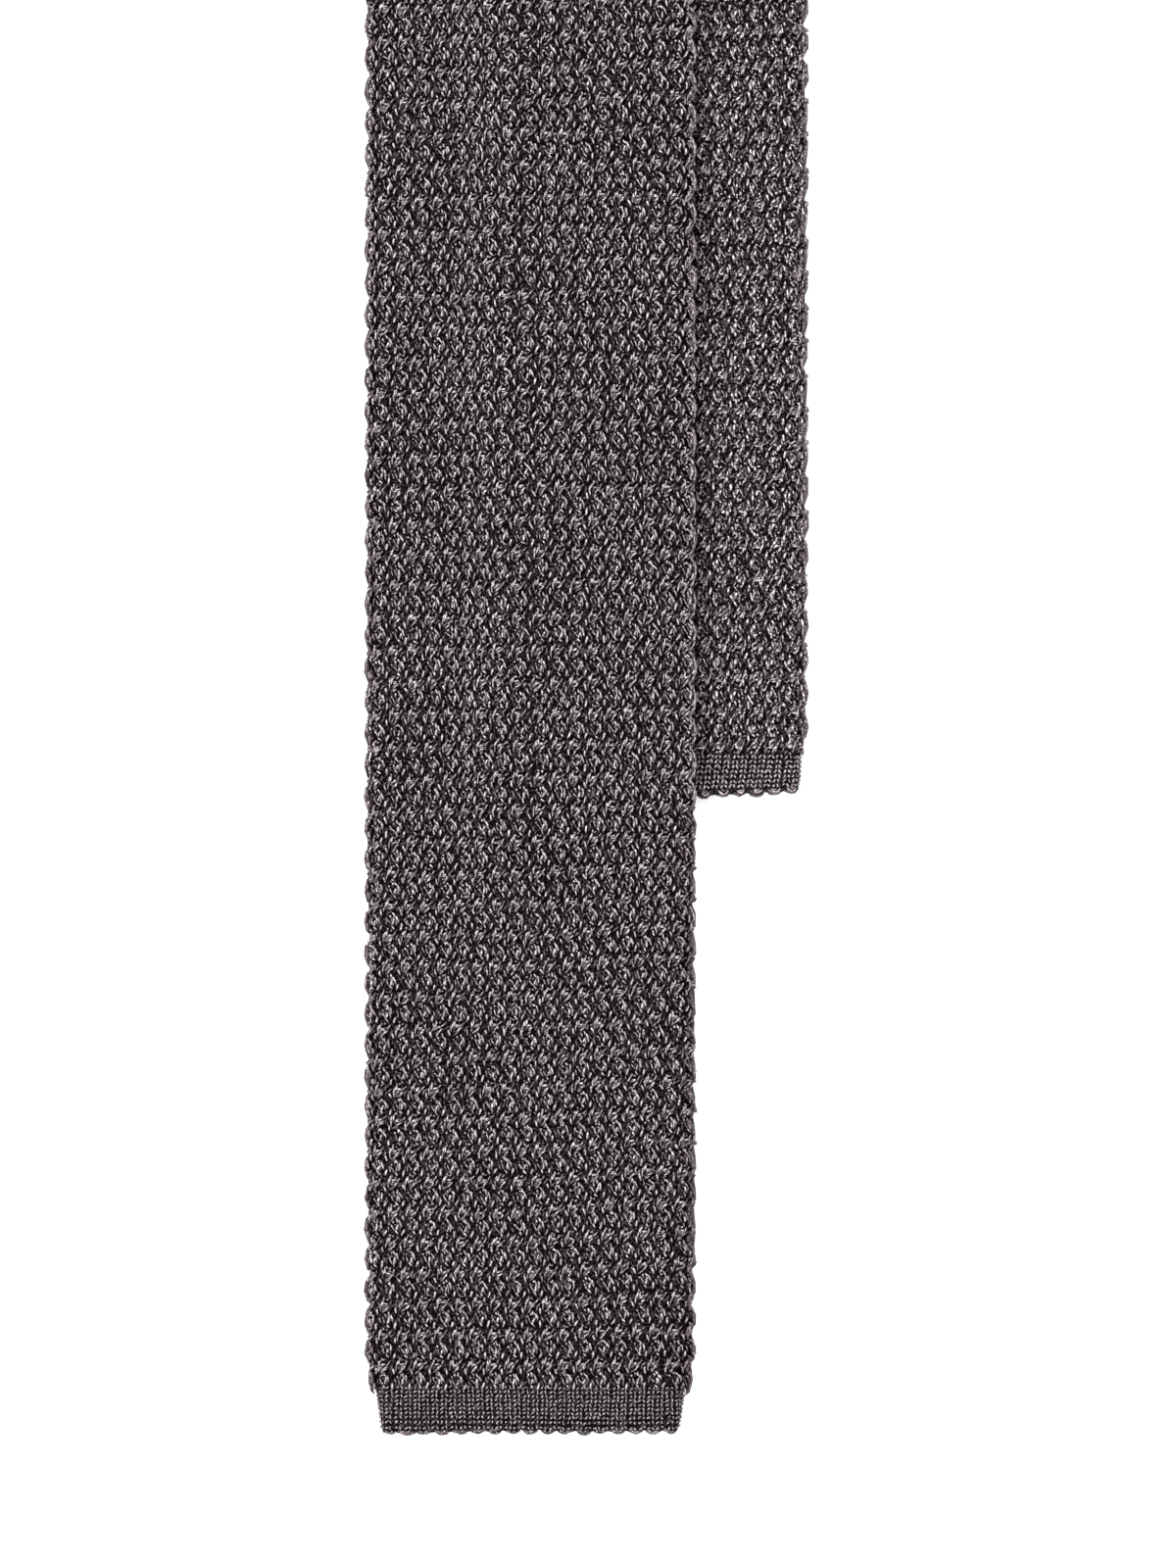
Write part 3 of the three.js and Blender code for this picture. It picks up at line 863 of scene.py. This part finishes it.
def make_yarn_grain_and_painted_light():
    """A group that paints light onto a silk ply: a highlight along its crest, shade down its flanks, and
    uneven tone between.
    """
    group = bpy.data.node_groups.new("yarn_grain_and_painted_light", "ShaderNodeTree")
    face = group.interface
    for title in ("Crest Highlight Colour", "Half Shade Colour", "Flank Shade Colour"):
        face.new_socket(title, in_out="INPUT", socket_type="NodeSocketColor")
    for title in (
        "Crest Start",
        "Crest Full",
        "Dimmest Ply",
        "Dimmest Fibre",
        "Fibres per Metre",
        "Turns per Ply",
        "Groove Shade Depth",
    ):
        face.new_socket(title, in_out="INPUT", socket_type="NodeSocketFloat")
    face.new_socket("Colour", in_out="OUTPUT", socket_type="NodeSocketColor")
    face.new_socket("Light", in_out="OUTPUT", socket_type="NodeSocketFloat")
    given = add_node(group, "NodeGroupInput").outputs
    result = add_node(group, "NodeGroupOutput")
    link = group.links.new

    # The marks that each ply carries: aside from its crest, along its length, and its own tone.
    marks = add_node(group, "ShaderNodeAttribute", attribute_name="ply")
    parts = add_node(group, "ShaderNodeSeparateXYZ")
    link(marks.outputs["Vector"], parts.inputs[0])
    aside, length, tone = parts.outputs
    height = maths(group, "SUBTRACT", 1.0, maths(group, "ABSOLUTE", aside))
    crest = ranged(group, height, From_Min=given["Crest Start"], From_Max=given["Crest Full"])

    # Painted shade in the grooves between a ply's twisted strands, and darker towards its tips.
    turns = maths(group, "MULTIPLY", length, given["Turns per Ply"])
    slanted = maths(group, "MULTIPLY_ADD", aside, 0.35, turns)
    phase = maths(group, "MULTIPLY_ADD", tone, 9.0, slanted)
    groove = maths(group, "PINGPONG", phase, 0.5)
    shallow = maths(group, "SUBTRACT", 1.0, given["Groove Shade Depth"])
    strand = ranged(group, groove, From_Min=0.05, From_Max=0.3, To_Min=shallow)
    end = maths(group, "PINGPONG", length, 0.5)
    inside = ranged(group, end, From_Max=0.22, To_Min=0.1)
    cut = maths(group, "MULTIPLY", strand, inside)
    ply = ranged(group, tone, "LINEAR", From_Min=0.2, From_Max=1.0, To_Min=given["Dimmest Ply"])

    # Single fibres, lighter and darker.
    place = add_node(group, "ShaderNodeTexCoord")
    grain = add_node(group, "ShaderNodeTexNoise", Detail=1.0)
    link(place.outputs["Object"], grain.inputs["Vector"])
    link(given["Fibres per Metre"], grain.inputs["Scale"])
    dimmest = given["Dimmest Fibre"]
    fibre = ranged(group, grain.outputs["Fac"], "LINEAR", From_Min=0.42, From_Max=0.54, To_Min=dimmest)

    # Painted light: the crest highlight, scaled by each ply's and fibre's tone and cut by the groove shade,
    # carries the colour from the flank shade through the half-shade tint to the crest highlight.
    light = maths(group, "MULTIPLY", maths(group, "MULTIPLY", crest, ply), fibre)
    lit = maths(group, "MULTIPLY", light, cut)
    silk = mixed_colour(group, lit, given["Half Shade Colour"], given["Crest Highlight Colour"])
    link(mixed_colour(group, lit, given["Flank Shade Colour"], silk), result.inputs["Colour"])
    link(lit, result.inputs["Light"])
    return group


yarn_grain_and_painted_light = make_yarn_grain_and_painted_light()


def make_yarn(name, crest, half_shade, flank_shade, start, full, dimmest_ply, dimmest_fibre, fibres, roughness):
    """Silk yarn of one part of the knit, from the shared group that paints its crest highlights and flank
    shade, and its own colours.
    """
    material, nodes, links = principled(name)
    shader = nodes["Principled BSDF"]
    shader.inputs["Roughness"].default_value = roughness
    shader.inputs["Specular IOR Level"].default_value = 0.5
    tone = nodes.new("ShaderNodeGroup")
    tone.node_tree = yarn_grain_and_painted_light
    values = {
        "Crest Highlight Colour": (*crest, 1),
        "Half Shade Colour": (*half_shade, 1),
        "Flank Shade Colour": (*flank_shade, 1),
        "Crest Start": start,
        "Crest Full": full,
        "Dimmest Ply": dimmest_ply,
        "Dimmest Fibre": dimmest_fibre,
        "Fibres per Metre": fibres,
        "Turns per Ply": 2.0,
        "Groove Shade Depth": 0.35,
    }
    for title, value in values.items():
        tone.inputs[title].default_value = value
    bump = nodes.new("ShaderNodeBump")
    bump.inputs["Strength"].default_value = 0.25
    bump.inputs["Distance"].default_value = 0.0001
    links.new(tone.outputs["Light"], bump.inputs["Height"])
    links.new(bump.outputs["Normal"], shader.inputs["Normal"])
    links.new(tone.outputs["Colour"], shader.inputs["Base Color"])
    return material


def make_painted_shade_cloth():
    """The cloth under the plies, near black as painted shade in the gaps between stitches, crossed by faint
    stray fibres so that no gap is flat black.
    """
    material, nodes, links = principled("painted_shade_cloth")
    shader = nodes["Principled BSDF"]
    shader.inputs["Roughness"].default_value = 0.9
    shader.inputs["Specular IOR Level"].default_value = 0.1
    tree = material.node_tree
    place = add_node(tree, "ShaderNodeTexCoord")
    tangle = add_node(tree, "ShaderNodeTexNoise", Scale=1100.0, Detail=0.0)
    links.new(place.outputs["Object"], tangle.inputs["Vector"])
    away = maths(tree, "ABSOLUTE", maths(tree, "SUBTRACT", tangle.outputs["Fac"], 0.5))
    ramp = add_node(tree, "ShaderNodeValToRGB")
    ramp.color_ramp.elements[0].position = 0.0
    ramp.color_ramp.elements[0].color = (0.075, 0.060, 0.063, 1)
    ramp.color_ramp.elements[1].position = 0.055
    ramp.color_ramp.elements[1].color = (0.002, 0.0008, 0.001, 1)
    links.new(away, ramp.inputs["Fac"])
    links.new(ramp.outputs["Color"], shader.inputs["Base Color"])
    return material


# The knit's painted light: a near-white highlight along each ply's crest, a reddish half-shade tint and a
# near-black shade down its flanks.
HIGHLIGHT_COLOUR = (0.94, 0.905, 0.91)
HALF_SHADE = (0.66, 0.53, 0.55)
FLANK_SHADE = (0.012, 0.003, 0.005)
HEM_HIGHLIGHT_COLOUR = (0.76, 0.73, 0.735)
blade_yarn = make_yarn("blade_yarn", HIGHLIGHT_COLOUR, HALF_SHADE, FLANK_SHADE, 0.24, 0.88, 0.03, 0.3, 4300.0, 0.4)
tail_yarn = make_yarn("tail_yarn", HIGHLIGHT_COLOUR, HALF_SHADE, FLANK_SHADE, 0.12, 0.7, 0.15, 0.12, 2300.0, 0.4)
hem_yarn = make_yarn("hem_yarn", HEM_HIGHLIGHT_COLOUR, HALF_SHADE, FLANK_SHADE, 0.15, 0.85, 0.12, 0.3, 4300.0, 0.4)
painted_shade_cloth = make_painted_shade_cloth()

rng = np.random.default_rng(SEED)


def leg_pieces(node, start, stop, strays_each, yarn):
    """The plies of one leg or of the neck, on both sides of the tube and round its edges."""
    made = []
    for side, back in (("face", False), ("back", True)):
        for kind, chart, half_row in (("crowns", CROWN, 0.0), ("roots", ROOT, 0.0), ("loops", LOOP, 0.5)):
            groups = stitches(chart, start, stop, back, half_row, rng)
            name = f"{node}_{side}_{kind}"
            made.append(ply_piece(name, groups, knit_point, yarn, "textured_knit", [node], rng))
        strays = stray_plies(start, stop, back, strays_each, rng)
        if len(strays[1][0][-1]):
            name = f"{node}_{side}_strays"
            made.append(ply_piece(name, strays, knit_point, yarn, "textured_knit", [node], rng))
    groups = side_stitches(start, stop, rng)
    made.append(ply_piece(f"{node}_edges", groups, knit_point, yarn, "textured_knit", [node], rng))
    return made


def leg_ground(node, start, stop):
    """The ground cloth under one leg's plies."""
    places = np.linspace(start, stop, int((stop - start) / GROUND_STEP))
    shares = np.linspace(-1, 1, GROUND_CORNERS + 1)[:-1]

    def point_at(along, share, height):
        width = knit_width(along)
        return knit_point(along, share * half_girth(width, TUBE_THICKNESS), height)

    name = f"{node}_ground"
    ground = tube_sheet(name, places, shares, point_at, GROUND_WALL, painted_shade_cloth, "textured_knit", [node])


def hem_stitches(chart, hem):
    """The plain-knit stitches all round a hem, in rows down from where it joins the knit."""
    downs = hem.row * (0.5 + np.arange(hem.rows))
    wide = downs[-1] + WIDE_ROW * hem.row * (np.arange(hem.wide_rows) + 0.85)
    downs = np.concatenate([downs, wide])
    columns = int(half_girth(hem.width - 2 * hem.taper, HEM_THICKNESS) / hem.column)
    ways = (np.arange(-columns, columns) + 0.5) * hem.column
    along, way = (grid.ravel() for grid in np.meshgrid(downs, ways, indexing="ij"))
    along = along + HEM_ROW_WAVE * np.sin(way / 9) + rng.normal(0, HEM_ROW_JITTER, len(along))
    way = way + HEM_WALE_WAVE * np.sin(way / 7 + along / 3) + rng.normal(0, HEM_WALE_JITTER, len(way))
    upward = np.full(len(along), -hem.row)
    detail = np.full(len(along), CLOSE)
    # Painted shade towards the hem's side edges.
    light = painted_side_shade(way, hem.width - hem.taper, HEM_THICKNESS)
    return laid_plies(chart, along, way, upward, hem.column, detail, light, HEM_PLY_RADIUS, HEM_RELIEF, rng)


def scallop_stitches(chart, hem):
    """The plies that follow each scallop of a hem's end, on its face and on its back."""
    width = hem.width - 2 * hem.taper
    count = scallop_count(hem)
    across = (np.arange(count) - (count - 1) / 2) * width / count
    flat = width / 2 - EDGE_ROUNDING
    edge = edge_length(HEM_THICKNESS)
    turn = np.arcsin(np.clip((np.abs(across) - flat) / EDGE_ROUNDING, 0, 1)) / math.pi
    on_face = np.minimum(np.abs(across), flat) + turn * edge
    on_back = 2 * flat + edge - on_face
    way = np.concatenate([np.sign(across) * on_face, np.sign(across) * on_back])
    along = np.full(len(way), abs(hem.end - hem.joined))
    upward = np.full(len(way), -1.0)
    detail = np.full(len(way), CLOSE)
    light = np.ones(len(way))
    column = width / count
    return laid_plies(chart, along, way, upward, column, detail, light, HEM_PLY_RADIUS, HEM_RELIEF, rng)


def hem_pieces(node, hem, stitch, scallop):
    """One hem: its ground, rolled over at its scalloped end, its stitches and the plies of its scallops."""
    tall = abs(hem.end - hem.joined)

    def point_at(down, way, height):
        return hem_point(down, way, height, hem)

    def ground_at(down, share, height):
        width = hem.width - 2 * hem.taper * down / tall
        return hem_point(down, share * half_girth(width, HEM_THICKNESS), height, hem)

    body = np.linspace(-HEM_TUCK, tall - HEM_ROLL, 8)
    roll = tall - HEM_ROLL * (1 - np.sin(np.linspace(0, math.pi / 2, 6)[1:]))
    places = np.concatenate([body, roll])
    if hem.end < hem.joined:
        places = places[::-1]
    shares = np.linspace(-1, 1, SCALLOP_CORNERS * scallop_count(hem) + 1)[:-1]
    for kind, lay, chart in (("stitches", hem_stitches, stitch), ("scallops", scallop_stitches, scallop)):
        groups = lay(chart, hem)
        ply_piece(f"{node}_{kind}", groups, point_at, hem_yarn, "plain_knit", [node], rng)
    name = f"{node}_ground"
    ground = tube_sheet(name, places, shares, ground_at, HEM_WALL, painted_shade_cloth, "plain_knit", [node])


for node, start, stop, strays_each, yarn in (
    ("blade", BLADE_HEM_HEIGHT, BLADE_STOP, 4, blade_yarn),
    ("neck_band", BLADE_STOP, TAIL_START, 4, blade_yarn),
    ("tail", TAIL_START, TAIL_STOP, 14, tail_yarn),
):
    plies = leg_pieces(node, start, stop, strays_each, yarn)
    leg_ground(node, start, stop)

hem_pieces("blade_hem", BLADE_HEM, BLADE_HEM_STITCH, BLADE_SCALLOP)
hem_pieces("tail_hem", TAIL_HEM, TAIL_HEM_STITCH, TAIL_SCALLOP)


def make_floor():
    """A plain pale floor under the tie."""
    mesh = bpy.data.meshes.new("floor")
    half = 4.0
    corners = [(-half, -half, 0), (half, -half, 0), (half, half, 0), (-half, half, 0)]
    mesh.from_pydata(corners, [], [(0, 1, 2, 3)])
    floor = bpy.data.objects.new("floor", mesh)
    floor.location.z = -0.0002
    bpy.context.scene.collection.objects.link(floor)
    material, nodes, _ = principled("pale_floor")
    nodes["Principled BSDF"].inputs["Base Color"].default_value = (0.93, 0.93, 0.93, 1)
    nodes["Principled BSDF"].inputs["Roughness"].default_value = 0.9
    nodes["Principled BSDF"].inputs["Specular IOR Level"].default_value = 0.0
    nodes["Principled BSDF"].inputs["Emission Color"].default_value = (1, 1, 1, 1)
    nodes["Principled BSDF"].inputs["Emission Strength"].default_value = 0.5
    mesh.materials.append(material)


def make_light():
    """Soft studio light: one wide lamp and a white surround."""
    world = bpy.data.worlds.new("studio")
    bpy.context.scene.world = world
    world.use_nodes = True
    world.node_tree.nodes["Background"].inputs["Color"].default_value = (1, 1, 1, 1)
    world.node_tree.nodes["Background"].inputs["Strength"].default_value = 1.1
    lamp = bpy.data.lights.new("soft_box", "AREA")
    lamp.shape = "RECTANGLE"
    lamp.size = 1.6
    lamp.size_y = 1.2
    lamp.energy = 45
    light = bpy.data.objects.new("soft_box", lamp)
    light.location = (-0.9, 0.6, 1.5)
    direction = -light.location
    light.rotation_euler = direction.to_track_quat("-Z", "Y").to_euler()
    bpy.context.scene.collection.objects.link(light)


def make_camera():
    """Straight down over the middle of the photograph's own frame, at its scale."""
    lens = 150.0
    sensor = 36.0
    high = PHOTO_HIGH / PIXELS_PER_MM
    x = BLADE_X + (PHOTO_WIDE / 2 - PHOTO_BLADE_X) / PIXELS_PER_MM
    y = BLADE_END_Y + (PHOTO_BLADE_END - PHOTO_HIGH / 2) / PIXELS_PER_MM
    data = bpy.data.cameras.new("camera")
    data.lens = lens
    data.sensor_width = sensor
    data.sensor_fit = "AUTO"
    camera = bpy.data.objects.new("camera", data)
    camera.location = (x * MM, y * MM, (high * lens / sensor + TUBE_THICKNESS) * MM)
    bpy.context.scene.collection.objects.link(camera)
    bpy.context.scene.camera = camera


make_floor()
make_light()
make_camera()
bpy.context.scene.view_settings.view_transform = "Standard"
